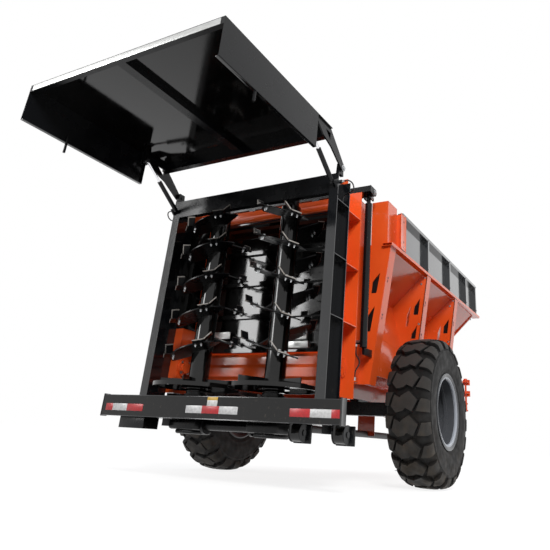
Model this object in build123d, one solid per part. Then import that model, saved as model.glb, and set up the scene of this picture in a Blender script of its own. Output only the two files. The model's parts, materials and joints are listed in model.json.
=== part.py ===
from build123d import *
import os
from math import cos, hypot, pi, sin

os.makedirs("parts", exist_ok=True)

# Vertical-beater manure spreader, standing on its wheels and jack with the rear hood raised.
# Millimetres.  +X is forward, +Y is the left side, +Z is up, the ground is at z 0.
# x is counted from the axle below; ORIGIN_X then moves the machine over the middle of its length.

PLAY = 0.05          # running clearance on a radius
GAP = 12             # air between pieces that move past each other

# wheels
WHEEL_R = 692
WHEEL_Y = 1234
TYRE_HALF = 218
BEAD_R = 318
RIM_FLANGE_R = 353
RIM_T = 14
HUB_R = 120
SPINDLE_R = 45
DISC_T = 16

# hopper on one side: y and z of the wall's outer face, from the flange down
WALL_T = 6
WALL = [(1105, 2150), (740, 1790), (858, 1330), (905, 960)]
HOPPER_REAR = -826
HOPPER_FRONT = 2372
FLANGE_Z = WALL[0][1]
FLANGE_H = 30
FLANGE_Y = 1166
FLANGE_W = 106
GUSSET_T = 8
GUSSET_STRIP = 70
GUSSET_X = [200, 1330, HOPPER_FRONT - GUSSET_STRIP]
GUSSET_TOP_Y = 1140
GUSSET_LOW = (958, 900)
SLOTS = [(1690, 1890, 55), (1400, 1580, 40)]
REAR_LOW = (958, 850)
REAR_SLOTS = [(1690, 1890, 55), (1325, 1565, 45)]
COLUMN = (924, 1102)
COLUMN_X = (-831, -597)
COLUMN_TOP = 2644

# extension boards above the hopper
BOARD_Y = 1162
BOARD_T = 8
BOARD_DEEP = 50
RAIL_H = 36
BOARD_TOP = 2600
BOARD_REAR = -571
BAY_X = [-571, 223, 1065, 1825, 2380]
DIVIDER = 40

# floor and conveyor
FLOOR_Z = 1050
FLOOR_T = 8
SLAT_H = 36
SLAT_W = 40
SLAT_STEP = 330
SLATS = 9
CHAIN_Y = 500
SHAFT_R = 35

# gate box and gate
BOX_Y = 840
BOX_T = 8
POST_REAR = -1430
POST_FRONT = -1115
POST_WEB_Y = 800
POST_EDGE_Y = 941
POST_TOP = 2640
POST_LOW = 700
POST_T = 8
BEARING = (-1338, 940)
BEARING_R = 82
BEARING_T = 18
SILL_TOP = 1090
HEADER_X = (-1290, -1210)
HEADER_Z = (2475, 2535)
GATE_X = (-1100, -1066)
GATE_Z = (1112, 2500)
GATE_T = 6
LIFT_BEAM_Z = (2650, 2712)
LIFT_BEAM_Y = 1018
CYL_X = -1000
CYL_Y = 962
CYL_R = 34
CYL_Z = (1150, 2560)
CYL_ROD_R = 20

# beater frame
FRAME_REAR = -1671
FRAME_WEB_Y = 894
FRAME_Y = (882, 971)
FRAME_TOP = 2588
FRAME_BASE = 470
TOP_BEAM_H = 182
TOP_BEAM_T = 60
RIB_Z = [2334, 1828, 1307]
RIB_T = 8
BASE_Z = (470, 560)
LEG_LOW = 410
LEG_W = 210

# beaters
BEATER_X = -1545
BEATER_Y = 412
TUBE_R = 90
TUBE_T = 10
DISC_R = 385
DISC_Z = 752
DISC_RIM = 26
PADDLE_H = 50
PADDLES = 4
TUBE_TOP = 2372
FLIGHT_R = 285
FLIGHT_T = 10
FLIGHT_TILT = 17
FLIGHT_ARC = 74
KNIFE_R = 362
KNIFE_T = 8
KNIFE_BEND = 35
PLATES = 8
PLATE_LOW = 1045
PLATE_STEP = 156

# bumper
BUMPER_REAR = -1849
BUMPER_Y = 1210
BUMPER_Z = (468, 639)
BUMPER_D = 60
BUMPER_T = 6
STAY_X = (BUMPER_REAR + 40, -1640)
STAY_Y = (710, 1000)
STAY_H = 95
CAN_Y = [-795, -1160]
CAN_R = 62
CAN_L = 90

# hood
HOOD_PIVOT = (-1625, FRAME_TOP + 62)
HOOD_LIFT = 267
HOOD_TOP = HOOD_PIVOT[1] + HOOD_LIFT
HOOD_REAR = -3417
HOOD_FRONT = -1897
HOOD_Y = 1005
HOOD_T = 5
SKIRT_H = 328
SKIRT_FRONT = -2150
ARM_Y = (976, 990)
PIN_R = 14
LATCH_X = -3000
LATCH_R = 11
RAM_Y = 925
RAM_R = 22
RAM_ROD_R = 12
RAM_FOOT = (FRAME_REAR - 29, FRAME_TOP - 103)
RAM_EYE = (-2180, HOOD_PIVOT[1] + 170)
RAM_BARREL = 345

# hydraulic hoses
HOSE_R = 6
HOSE_BEND = 50
HOSE_FITTING = (FRAME_REAR + 16, 2502)
HOSE_SHELF_Z = 862

# chassis
RAIL_Y = (420, 500)
RAIL_Z = (780, 940)
RAIL_T = 8
RAIL_X = (-1115, 2500)
CROSS_X = [-1060, -500, 300, 1200, 2000, 2440]
CROSS_W = 60
HANGER = 3
AXLE_HALF = 65
DRAWBAR_Z = 610
DRAWBAR_TIE = (3000, 3060)
HEAD_X = 3700
TOW_EYE_X = 4050
TOW_EYE_R = 45
DRIVE_Z = 470
DRIVE_X = (-1400, 2900)
DRIVE_R = 38
STUB_R = 17.5
STUB_END = 2990
JACK_X = 3350
JACK_Y = 330
JACK_R = 38
JACK_PAD = 16

ORIGIN_X = -(TOW_EYE_X + TOW_EYE_R + HOOD_REAR) / 2


def block(x0, x1, y0, y1, z0, z1):
    return Pos((x0 + x1) / 2, (y0 + y1) / 2, (z0 + z1) / 2) * Box(abs(x1 - x0), abs(y1 - y0), abs(z1 - z0))


def tube_x(x0, x1, y0, y1, z0, z1, t):
    return block(x0, x1, y0, y1, z0, z1) - block(x0 - t, x1 + t, y0 + t, y1 - t, z0 + t, z1 - t)


def tube_y(x0, x1, y0, y1, z0, z1, t):
    return block(x0, x1, y0, y1, z0, z1) - block(x0 + t, x1 - t, y0 - t, y1 + t, z0 + t, z1 - t)


def plate_yz(points, x0, x1):
    face = make_face(Polyline([(x0, y, z) for y, z in points], close=True))
    return extrude(face, amount=x1 - x0, dir=(1, 0, 0))


def plate_xz(points, y0, y1):
    face = make_face(Polyline([(x, y0, z) for x, z in points], close=True))
    return extrude(face, amount=y1 - y0, dir=(0, 1, 0))


def round_x(x0, x1, y, z, r):
    return Pos((x0 + x1) / 2, y, z) * Rot(0, 90, 0) * Cylinder(r, x1 - x0)


def round_y(y0, y1, x, z, r):
    return Pos(x, (y0 + y1) / 2, z) * Rot(90, 0, 0) * Cylinder(r, y1 - y0)


def round_z(z0, z1, x, y, r):
    return Pos(x, y, (z0 + z1) / 2) * Cylinder(r, z1 - z0)


def ring(outline):
    """A solid of revolution about Y from a closed outline of radius and y."""
    return revolve(make_face(Polyline([(r, y, 0) for r, y in outline], close=True)), Axis.Y, 360)


def bar(a, b, wide, high):
    """A square-section bar from a to b; wide is across, high is upright."""
    run = Vector(*b) - Vector(*a)
    side = Vector(0, 0, 1).cross(run).normalized()
    plane = Plane(origin=a, x_dir=side, z_dir=run)
    return extrude(plane * Rectangle(wide, high), amount=run.length)


def rod(a, b, r):
    run = Vector(*b) - Vector(*a)
    return extrude(Plane(origin=a, z_dir=run) * Circle(r), amount=run.length)


def mirrored(shape):
    return mirror(shape, Plane.XZ)


def pair(shape):
    return shape + mirrored(shape)


def both(name, shape):
    return {name + "_left": shape, name + "_right": mirrored(shape)}


# ---------------------------------------------------------------- wheels
def tyre():
    seat = TYRE_HALF - 40
    wall = 0.30 * (WHEEL_R - BEAD_R)
    side = [(BEAD_R, seat), (RIM_FLANGE_R, seat + RIM_T), (BEAD_R + wall, TYRE_HALF - 4),
            (BEAD_R + 1.7 * wall, TYRE_HALF), (WHEEL_R - 90, TYRE_HALF - 6), (WHEEL_R - 42, TYRE_HALF - 13),
            (WHEEL_R, TYRE_HALF - 42)]
    cave = [(BEAD_R, seat - 28), (BEAD_R + wall, TYRE_HALF - 48), (BEAD_R + 2.2 * wall, TYRE_HALF - 42),
            (WHEEL_R - 52, TYRE_HALF - 68)]
    outline = side + [(r, -y) for r, y in reversed(side)]
    outline = outline + [(r, -y) for r, y in cave] + [(r, y) for r, y in reversed(cave)]
    return ring(outline)


def rim():
    seat = TYRE_HALF - 40
    edge = seat + RIM_T
    low = BEAD_R - RIM_T
    barrel = ring([(low, -seat), (BEAD_R, -seat), (BEAD_R, seat), (low, seat)])
    lip = ring([(low, seat), (BEAD_R, seat), (RIM_FLANGE_R, edge), (RIM_FLANGE_R + 2, edge + 8),
                (RIM_FLANGE_R - 12, edge + 12), (low, seat + 8)])
    cone = ring([(HUB_R - 20, -70), (0.6 * BEAD_R, -70), (low + 2, -40), (low + 2, DISC_T - 40),
                 (0.6 * BEAD_R, DISC_T - 70), (HUB_R - 20, DISC_T - 70)])
    hub = round_y(-RIM_FLANGE_R / 2, 20, 0, 0, HUB_R)
    hub -= round_y(-RIM_FLANGE_R, -20, 0, 0, SPINDLE_R + PLAY)
    return barrel + pair(lip) + cone + hub


def wheels():
    place = Pos(0, WHEEL_Y, WHEEL_R)
    nodes = both("tyre", place * tyre())
    nodes.update(both("rim", place * rim()))
    return nodes


# ---------------------------------------------------------------- chassis
def chassis():
    frame = pair(tube_x(*RAIL_X, *RAIL_Y, *RAIL_Z, RAIL_T))
    for x in CROSS_X:
        frame += tube_y(x, x + CROSS_W, -RAIL_Y[0], RAIL_Y[0], RAIL_Z[0] + 30, RAIL_Z[1] - 20, RAIL_T)
    x = CROSS_X[HANGER]
    frame += block(x, x + RAIL_T, -115, 115, DRIVE_Z - DRIVE_R + 20, RAIL_Z[0] + 30)
    frame -= round_x(x, x + RAIL_T, 0, DRIVE_Z, DRIVE_R)
    inner = WHEEL_Y - RIM_FLANGE_R / 2 - GAP
    top = WHEEL_R + AXLE_HALF
    beam = block(-AXLE_HALF, AXLE_HALF, -inner + 30, inner - 30, WHEEL_R - AXLE_HALF, top)
    spindle = round_y(inner - 30, WHEEL_Y - 30, 0, WHEEL_R, SPINDLE_R)
    seat = block(-110, 110, RAIL_Y[0] - 10, RAIL_Y[1] + 10, top, RAIL_Z[0])
    axle = beam + pair(spindle + seat)
    front = RAIL_X[1] + CROSS_W
    mid = (RAIL_Z[0] + RAIL_Z[1]) / 2
    leg = bar((RAIL_X[1] + 40, RAIL_Y[0] + 20, mid), (HEAD_X, 75, DRAWBAR_Z), 80, 130)
    bar_ = pair(leg) + block(HEAD_X - 60, TOW_EYE_X - 130, -90, 90, DRAWBAR_Z - 65, DRAWBAR_Z + 65)
    bar_ += block(*DRAWBAR_TIE, -300, 300, DRAWBAR_Z + 90, DRAWBAR_Z + 160)
    bar_ += block(RAIL_X[1], front, -RAIL_Y[1], RAIL_Y[1], *RAIL_Z)
    bar_ += block(JACK_X - 50, JACK_X + 50, 190, JACK_Y, DRAWBAR_Z + 80, DRAWBAR_Z + 140)
    bar_ += round_z(DRAWBAR_Z - 190, DRAWBAR_Z + 390, JACK_X, JACK_Y, JACK_R)
    bar_ += round_z(DRAWBAR_Z - 16, DRAWBAR_Z + 16, TOW_EYE_X, 0, TOW_EYE_R)
    bar_ += block(TOW_EYE_X - 130, TOW_EYE_X, -28, 28, DRAWBAR_Z - 16, DRAWBAR_Z + 16)
    bar_ -= round_z(DRAWBAR_Z - 20, DRAWBAR_Z + 20, TOW_EYE_X, 0, 25)
    bar_ -= round_z(DRAWBAR_Z - 210, DRAWBAR_Z + 380, JACK_X, JACK_Y, JACK_R - 7)
    leg = round_z(JACK_PAD, DRAWBAR_Z + 20, JACK_X, JACK_Y, JACK_R - 8)
    leg += block(JACK_X - 100, JACK_X + 100, JACK_Y - 100, JACK_Y + 100, 0, JACK_PAD)
    line = round_x(*DRIVE_X, 0, DRIVE_Z, DRIVE_R) + round_x(DRIVE_X[1], STUB_END, 0, DRIVE_Z, STUB_R)
    return {"chassis_frame": frame, "axle": axle, "drawbar": bar_, "jack_leg": leg, "drive_line": line}


# ---------------------------------------------------------------- hopper
def inner_wall(t):
    """The wall's line moved inwards by t on its slopes."""
    return [(y - 1.3 * t, z) for y, z in WALL]


def edge(low, z, inset):
    """A point at height z on a web's outer edge, which runs from low up to the flange, moved inwards."""
    share = (z - low[1]) / (FLANGE_Z - low[1])
    return (low[0] + share * (GUSSET_TOP_Y - low[0]) - inset, z)


def slots(low, heights, x):
    """The solids that cut a web's tall slots beside its outer edge."""
    cuts = None
    for z0, z1, wide in heights:
        corners = [(z0, 75), (z0, 75 + wide), (z1 - 90, 80 + wide), (z1, 70)]
        slot = [edge(low, z, inset) for z, inset in corners]
        cut = plate_yz(slot, x - 1, x + GUSSET_T + 3)
        cuts = cut if cuts is None else cuts + cut
    return cuts


def gusset(x, wall):
    """One upright web from the wall to its outer edge, with a strip along that edge and two slots."""
    top, low = FLANGE_Z, GUSSET_LOW
    web = plate_yz(wall + [low, edge(low, top, 0)], x, x + GUSSET_T) - slots(low, SLOTS, x)
    line = [low, edge(low, top, 0), edge(low, top, GUSSET_T), edge(low, low[1], GUSSET_T)]
    return web + plate_yz(line, x, x + GUSSET_STRIP)


def hopper():
    inner = inner_wall(WALL_T)
    top = FLANGE_Z + FLANGE_H
    nodes = both("side_wall", plate_yz(WALL + list(reversed(inner)), HOPPER_REAR, HOPPER_FRONT))
    front = inner + [(-y, z) for y, z in reversed(inner)]
    nodes["front_wall"] = plate_yz(front, HOPPER_FRONT - WALL_T, HOPPER_FRONT)
    flange = tube_x(HOPPER_REAR - 40, HOPPER_FRONT + 150, FLANGE_Y - FLANGE_W, FLANGE_Y, FLANGE_Z, top, 5)
    nodes.update(both("flange", flange))
    wall = WALL[:3] + [(893, GUSSET_LOW[1] + 160)]
    ribs = gusset(GUSSET_X[0], wall)
    for x in GUSSET_X[1:]:
        ribs += gusset(x, wall)
    nodes.update(both("gussets", ribs))
    nodes["floor"] = block(HOPPER_REAR - 40, HOPPER_FRONT - WALL_T, -820, 820, FLOOR_Z - FLOOR_T, FLOOR_Z)
    wall = [(BOX_Y, top), (BOX_Y, 1893), (WALL[1][0] - WALL_T, WALL[1][1]), (BOX_Y, 1380), (BOX_Y, 850)]
    inner = FLANGE_Y - FLANGE_W
    web = plate_yz(wall + [REAR_LOW, edge(REAR_LOW, FLANGE_Z, 0), (inner, FLANGE_Z), (inner, top)],
                   HOPPER_REAR - 10, HOPPER_REAR)
    web -= slots(REAR_LOW, REAR_SLOTS, HOPPER_REAR - 10)
    t = WALL_T
    column = block(*COLUMN_X, *COLUMN, top, COLUMN_TOP)
    column -= block(COLUMN_X[0] + t, COLUMN_X[1] - t, COLUMN[0] + t, COLUMN[1] - t, top - 1, COLUMN_TOP - t)
    corner = web + column
    corner += block(POST_FRONT, HOPPER_REAR - 10, BOX_Y, BOX_Y + BOX_T, 850, POST_TOP)
    shelf = (BOX_Y + BOX_T, CYL_Y - CYL_R - 18)
    corner += block(CYL_X - 30, CYL_X + 30, *shelf, HOSE_SHELF_Z - 12, HOSE_SHELF_Z)
    corner += gusset_strip_rear()
    nodes.update(both("rear_corner", corner))
    nodes.update(boards(top))
    return nodes


def gusset_strip_rear():
    top, low = FLANGE_Z, REAR_LOW
    line = [low, edge(low, top, 0), edge(low, top, GUSSET_T), edge(low, low[1], GUSSET_T)]
    span = (HOPPER_REAR, HOPPER_REAR + GUSSET_STRIP)
    wall = WALL + list(reversed(inner_wall(WALL_T)))
    return plate_yz(line, *span) - plate_yz(wall, *span)


def boards(low):
    """Sheet boards set back between dividers, with a rail along the top."""
    sheet, end = BOARD_Y - BOARD_DEEP, HOPPER_FRONT + BOARD_T
    board = block(BOARD_REAR, end, sheet - BOARD_T, sheet, low, BOARD_TOP)
    board += block(BOARD_REAR, end, sheet, BOARD_Y, BOARD_TOP - RAIL_H, BOARD_TOP)
    for x in BAY_X:
        x0 = min(x, end - DIVIDER)
        board += block(x0, x0 + DIVIDER, sheet, BOARD_Y, low, BOARD_TOP)
    inside = sheet - BOARD_T
    front = block(HOPPER_FRONT, HOPPER_FRONT + BOARD_T, -inside, inside, low, BOARD_TOP)
    inner = FLANGE_Y - FLANGE_W
    front += block(HOPPER_FRONT, HOPPER_FRONT + CROSS_W, -inner, inner, FLANGE_Z - 40, low)
    nodes = both("board", board)
    nodes["front_board"] = front
    return nodes


def conveyor():
    slats = None
    for i in range(SLATS):
        x = HOPPER_REAR + 100 + i * SLAT_STEP
        slat = block(x, x + SLAT_W, -700, 700, FLOOR_Z, FLOOR_Z + SLAT_H)
        slats = slat if slats is None else slats + slat
    chain = block(HOPPER_REAR - 60, 2250, CHAIN_Y - 15, CHAIN_Y + 15, FLOOR_Z, FLOOR_Z + 20)
    low = FLOOR_Z - FLOOR_T
    shaft = round_y(-BOX_Y, BOX_Y, HOPPER_REAR - 60 - SHAFT_R, low - SHAFT_R, SHAFT_R)
    return {"conveyor": slats + pair(chain), "conveyor_shaft": shaft}


# ---------------------------------------------------------------- gate
def gate_parts():
    web_y = (POST_WEB_Y, POST_WEB_Y + POST_T)
    post = block(POST_REAR, POST_FRONT, *web_y, POST_LOW, POST_TOP)
    post += block(POST_FRONT - POST_T, POST_FRONT, POST_WEB_Y, POST_EDGE_Y, POST_LOW, POST_TOP)
    post += block(POST_REAR, POST_REAR + POST_T, POST_WEB_Y, POST_EDGE_Y, POST_LOW, POST_TOP)
    for z in RIB_Z:
        post += block(POST_REAR, POST_FRONT, POST_WEB_Y, POST_EDGE_Y, z, z + RIB_T)
    post += round_y(POST_WEB_Y - BEARING_T, POST_WEB_Y, *BEARING, BEARING_R)
    post += round_y(POST_WEB_Y - 2 * BEARING_T, POST_WEB_Y, *BEARING, BEARING_R - 28)
    nodes = both("gate_post", post)
    nodes["gate_header"] = tube_y(*HEADER_X, -POST_WEB_Y, POST_WEB_Y, *HEADER_Z, 6)
    back, step = POST_FRONT, 35
    fold = step + 20
    drops = [(0, 0), (step, 30), (step, 100), (fold, 130), (fold, 210), (step, 240), (step, 290), (0, 290)]
    sill = [(back - out, SILL_TOP - down) for out, down in drops]
    nodes["rear_sill"] = plate_xz(sill, -POST_WEB_Y, POST_WEB_Y)
    wide = BOX_Y - 10
    gate = block(GATE_X[1], GATE_X[1] + GATE_T, -wide, wide, *GATE_Z)
    rows = 5
    pitch = (GATE_Z[1] - GATE_Z[0] - 40) / (rows - 1)
    for i in range(rows):
        z = GATE_Z[0] + i * pitch
        gate += tube_y(GATE_X[0], GATE_X[1], -wide, wide, z, z + 40, 5)
    nodes["gate"] = gate
    lift = tube_y(GATE_X[0], -960, -LIFT_BEAM_Y, LIFT_BEAM_Y, *LIFT_BEAM_Z, 6)
    lift += pair(block(*GATE_X, 360, 440, GATE_Z[1], LIFT_BEAM_Z[0]))
    lift += pair(round_z(CYL_Z[0] + 60, LIFT_BEAM_Z[0], CYL_X, CYL_Y, CYL_ROD_R))
    nodes["gate_lift"] = lift
    barrel = round_z(*CYL_Z, CYL_X, CYL_Y, CYL_R)
    barrel -= round_z(CYL_Z[0] + 30, CYL_Z[1] + 1, CYL_X, CYL_Y, CYL_ROD_R + 0.5)
    foot = block(HOPPER_REAR - 10, CYL_X, CYL_Y - 12, CYL_Y + 12, CYL_Z[0] - 60, CYL_Z[0])
    elbow = block(CYL_X - 12, CYL_X + 12, CYL_Y - CYL_R - 50, CYL_Y, CYL_Z[0] + 30, CYL_Z[0] + 54)
    elbow -= round_z(CYL_Z[0] + 30, CYL_Z[0] + 54, CYL_X, CYL_Y, CYL_ROD_R + 0.5)
    nodes["gate_rams"] = pair(barrel + foot + elbow)
    return nodes


# ---------------------------------------------------------------- beater frame
def beater_frame():
    web = (FRAME_WEB_Y, FRAME_WEB_Y + 6)
    out = FRAME_Y[1]
    post = block(FRAME_REAR, POST_REAR, *web, FRAME_BASE, FRAME_TOP)
    post += block(FRAME_REAR, FRAME_REAR + 8, *FRAME_Y, FRAME_BASE, FRAME_TOP)
    post += block(POST_REAR - 8, POST_REAR, FRAME_WEB_Y, out, FRAME_BASE, FRAME_TOP)
    for z in RIB_Z:
        post += block(FRAME_REAR, POST_REAR, FRAME_WEB_Y, out, z, z + 6)
    x, z = HOSE_FITTING
    post += block(x - 12, x + 12, out - 30, ARM_Y[1] + GAP, z - 12, z + 12)
    nodes = both("beater_post", post)
    front = FRAME_REAR + TOP_BEAM_T
    beam = tube_y(FRAME_REAR, front, -FRAME_Y[0], FRAME_Y[0], FRAME_TOP - TOP_BEAM_H, FRAME_TOP, 6)
    shelf_y = (BEATER_Y - TUBE_R, BEATER_Y + TUBE_R)
    shelf = block(front, BEATER_X + TUBE_R, *shelf_y, FRAME_TOP - 90, FRAME_TOP - 74)
    cap = round_z(TUBE_TOP + 6, FRAME_TOP - 90, BEATER_X, BEATER_Y, TUBE_R - 20)
    cap += round_z(TUBE_TOP - 55, TUBE_TOP + 6, BEATER_X, BEATER_Y, SPINDLE_R)
    nodes["beater_top_beam"] = beam + pair(shelf + cap - block(FRAME_REAR, front, 0, 900, 2300, FRAME_TOP))
    x, z = HOOD_PIVOT
    lug = plate_xz([(x - 46, FRAME_TOP), (x + 45, FRAME_TOP), (x + 35, z + 40), (x - 35, z + 40)], 940, 970)
    lug -= round_y(900, 1000, x, z, PIN_R)
    x, z = RAM_FOOT
    ear = [(FRAME_REAR, z - 48), (FRAME_REAR, z + 52), (x, z + 26), (x - 26, z), (x, z - 26)]
    lug += plate_xz(ear, 953, 971)
    lug += round_y(RAM_Y - 12, 953, x, z, 10)
    nodes["hood_lugs"] = pair(lug)
    front = DRIVE_X[0]
    base = tube_y(-1620, front, -FRAME_WEB_Y, FRAME_WEB_Y, *BASE_Z, 8)
    base += round_x(front - 30, front, 0, DRIVE_Z, DRIVE_R)
    base += block(front - 120, front, -120, 120, BASE_Z[0] - 50, BASE_Z[0])
    base += pair(block(front, front + LEG_W, POST_WEB_Y + GAP, POST_WEB_Y + 100, LEG_LOW, POST_LOW))
    house = round_z(BASE_Z[1], DISC_Z - 56, BEATER_X, BEATER_Y, TUBE_R)
    house += round_z(DISC_Z - 56, DISC_Z + 10, BEATER_X, BEATER_Y, SPINDLE_R)
    nodes["beater_base"] = base + pair(house)
    rear, low, high = BUMPER_REAR, *BUMPER_Z
    t = BUMPER_T
    bumper = block(rear, rear + BUMPER_D, -BUMPER_Y, BUMPER_Y, low, high)
    bumper -= block(rear + t, rear + BUMPER_D + 1, -BUMPER_Y + t, BUMPER_Y - t, low + t, high - t)
    bumper += pair(block(rear + t, FRAME_REAR, 900, 960, low + 20, high - 20))
    stay = block(*STAY_X, *STAY_Y, low - STAY_H, low)
    bumper += stay - block(*STAY_X, STAY_Y[0] + 8, STAY_Y[1] - 8, low - STAY_H + 8, low - 8)
    for y in CAN_Y:
        x = rear + BUMPER_D + CAN_R
        bumper += round_y(y - CAN_L / 2, y + CAN_L / 2, x, low - CAN_R, CAN_R)
        bumper += block(rear + t, x, y - 8, y + 8, low - 70, low)
    nodes["bumper"] = bumper
    return nodes


def knife(turn):
    """A cutting blade bolted flat on a flight's edge at that angle, its free end bent upwards."""
    base = block(FLIGHT_R - 55, KNIFE_R - 24, -55, 45, FLIGHT_T / 2, FLIGHT_T / 2 + KNIFE_T)
    tip = block(FLIGHT_R - 20, KNIFE_R - 32, 0, 95, 0, KNIFE_T)
    tip = Pos(0, 45 - KNIFE_T / 2, FLIGHT_T / 2) * Rot(KNIFE_BEND, 0, 0) * tip
    return Rot(0, 0, turn) * (base + tip)


def flight():
    """One flight plate with its knives, lying flat, before it is tilted on its radius."""
    ring = Cylinder(FLIGHT_R, FLIGHT_T) - Cylinder(TUBE_R - 30, 2 * FLIGHT_T)
    for side in (1, -1):
        cut = Pos(0, side * FLIGHT_R, 0) * Box(6 * FLIGHT_R, 2 * FLIGHT_R, 2 * FLIGHT_T)
        ring -= Rot(0, 0, side * FLIGHT_ARC) * cut
    return ring + knife(-42) + knife(34)


def beaters():
    tube = round_z(DISC_Z, TUBE_TOP, BEATER_X, BEATER_Y, TUBE_R)
    tube -= round_z(DISC_Z + 20, TUBE_TOP - 60, BEATER_X, BEATER_Y, TUBE_R - TUBE_T)
    tube += round_z(DISC_Z - 25, DISC_Z, BEATER_X, BEATER_Y, TUBE_R + 45)
    tube += round_z(DISC_Z - 50, DISC_Z - 25, BEATER_X, BEATER_Y, TUBE_R + 5)
    tube += round_z(DISC_Z, DISC_Z + 8, BEATER_X, BEATER_Y, DISC_R)
    rim = round_z(DISC_Z - DISC_RIM, DISC_Z, BEATER_X, BEATER_Y, DISC_R)
    tube += rim - round_z(DISC_Z - 2 * DISC_RIM, DISC_Z + 1, BEATER_X, BEATER_Y, DISC_R - 8)
    for k in range(PADDLES):
        paddle = block(TUBE_R - 4, DISC_R - 30, -5, 5, DISC_Z + 8, DISC_Z + 8 + PADDLE_H)
        tube += Pos(BEATER_X, BEATER_Y, 0) * Rot(0, 0, 20 + 360 * k / PADDLES) * paddle
    tube -= round_z(DISC_Z - 60, DISC_Z + 15, BEATER_X, BEATER_Y, SPINDLE_R + PLAY)
    tube -= round_z(TUBE_TOP - 60, TUBE_TOP + 5, BEATER_X, BEATER_Y, SPINDLE_R + PLAY)
    plate = Rot(FLIGHT_TILT, 0, 0) * flight()
    flights = None
    for i in range(PLATES):
        placed = Pos(BEATER_X, BEATER_Y, PLATE_LOW + i * PLATE_STEP) * Rot(0, 0, 180 + 180 * i) * plate
        flights = placed if flights is None else flights + placed
    flights -= round_z(DISC_Z, TUBE_TOP + 50, BEATER_X, BEATER_Y, TUBE_R)
    nodes = both("beater_tube", tube)
    nodes.update(both("beater_flights", flights))
    return nodes


# ---------------------------------------------------------------- hood
def hood():
    under = HOOD_TOP - HOOD_T
    low = HOOD_TOP - SKIRT_H
    nodes = {"hood_panel": block(HOOD_REAR, HOOD_FRONT, -HOOD_Y, HOOD_Y, under, HOOD_TOP)}
    skirt = block(HOOD_REAR, SKIRT_FRONT, HOOD_Y - HOOD_T, HOOD_Y, low, under)
    pin = round_z(low - 85, low + 75, LATCH_X, HOOD_Y - HOOD_T - LATCH_R + 3, LATCH_R)
    nodes["hood_skirts"] = pair(skirt + pin)
    x, z = HOOD_PIVOT
    lift = under - z
    brace = [(0.93, 0.36), (1.5, 0.53), (2.15, 1)]
    edge = [(x - back * lift, z + up * lift) for back, up in brace]
    arm = plate_xz([(x + 30, z + 10), (x, z - 30), (x - 40, z - 20)] + edge + [(HOOD_FRONT, under)], *ARM_Y)
    arm -= plate_xz([(x - 1.4 * lift, z + 0.82 * lift), (x - 1.05 * lift, z + 0.82 * lift),
                     (x - 1.05 * lift, z + 0.55 * lift)], *ARM_Y)
    arm += round_y(932, ARM_Y[0], x, z, PIN_R - PLAY)
    ex, ez = RAM_EYE
    ear = [(ex + 25, ez - 30), (ex - 25, ez - 30), (ex - 45, under), (ex + 45, under)]
    arm += plate_xz(ear, 946, ARM_Y[0])
    tube = block(HOOD_FRONT - 33, HOOD_FRONT + 27, -ARM_Y[0], ARM_Y[0], under - 80, under)
    tube -= block(HOOD_FRONT - 28, HOOD_FRONT + 22, -ARM_Y[1], ARM_Y[1], under - 75, under - 5)
    nodes["hood_arms"] = pair(arm) + tube
    lip = tube_y(HOOD_REAR, HOOD_REAR + 40, -HOOD_Y + HOOD_T, HOOD_Y - HOOD_T, under - 56, under, 4)
    rib = block(HOOD_REAR + 40, HOOD_FRONT - 33, -40, 40, under - 50, under)
    nodes["hood_frame"] = lip + rib - block(HOOD_REAR + 40, HOOD_FRONT, -36, 36, under - 46, under + 1)
    return nodes


def rams():
    length = hypot(RAM_EYE[0] - RAM_FOOT[0], RAM_EYE[1] - RAM_FOOT[1])
    along = ((RAM_EYE[0] - RAM_FOOT[0]) / length, (RAM_EYE[1] - RAM_FOOT[1]) / length)

    def at(s):
        return (RAM_FOOT[0] + along[0] * s, RAM_Y, RAM_FOOT[1] + along[1] * s)
    barrel = rod(at(18), at(RAM_BARREL), RAM_R) - rod(at(30), at(RAM_BARREL + 1), RAM_ROD_R + 0.5)
    barrel += round_y(RAM_Y - 12, RAM_Y + 11, *RAM_FOOT, RAM_R)
    barrel -= round_y(RAM_Y - 30, RAM_Y + 30, *RAM_FOOT, 10 + PLAY)
    stem = rod(at(length - RAM_BARREL), at(length - 15), RAM_ROD_R)
    stem += round_y(RAM_Y - 15, RAM_Y + 15, *RAM_EYE, RAM_R)
    return {"hood_rams": pair(barrel), "hood_rods": pair(stem)}


def hose(points, bend, r):
    path = FilletPolyline(*points, radius=bend)
    return sweep(Plane(origin=path @ 0, z_dir=path % 0) * Circle(r), path)


def hoses():
    """Hydraulic hoses, each from a fitting on a ram's foot to the frame beside it."""
    x, z = HOSE_FITTING
    y = ARM_Y[1] + GAP
    low = RIB_Z[0] + 6
    loop = [(x, y, z), (x, y + 94, z), (x + 68, y + 94, low + 90), (x + 138, RAM_Y + 18, low + 90),
            (x + 138, RAM_Y + 18, low)]
    y, low = CYL_Y - CYL_R - 38, HOSE_SHELF_Z
    drop = [(CYL_X, y, CYL_Z[0] + 30), (CYL_X, y, CYL_Z[0] - 60), (CYL_X, y + 50, low + 160),
            (CYL_X, y, low + 80), (CYL_X, y, low)]
    return {"hood_hoses": pair(hose(loop, HOSE_BEND, HOSE_R)),
            "gate_hoses": pair(hose(drop, HOSE_BEND, HOSE_R))}


def build():
    nodes = {}
    for group in (wheels, chassis, hopper, conveyor, gate_parts, beater_frame, beaters, hood, rams, hoses):
        nodes.update(group())
    return {name: Pos(ORIGIN_X, 0, 0) * shape for name, shape in nodes.items()}


for name, shape in build().items():
    shape.label = name
    export_step(shape, "parts/" + name + ".step")
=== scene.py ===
import bpy, bmesh, json
from math import sin, cos, pi, radians, hypot
from mathutils import Vector, Matrix


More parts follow.
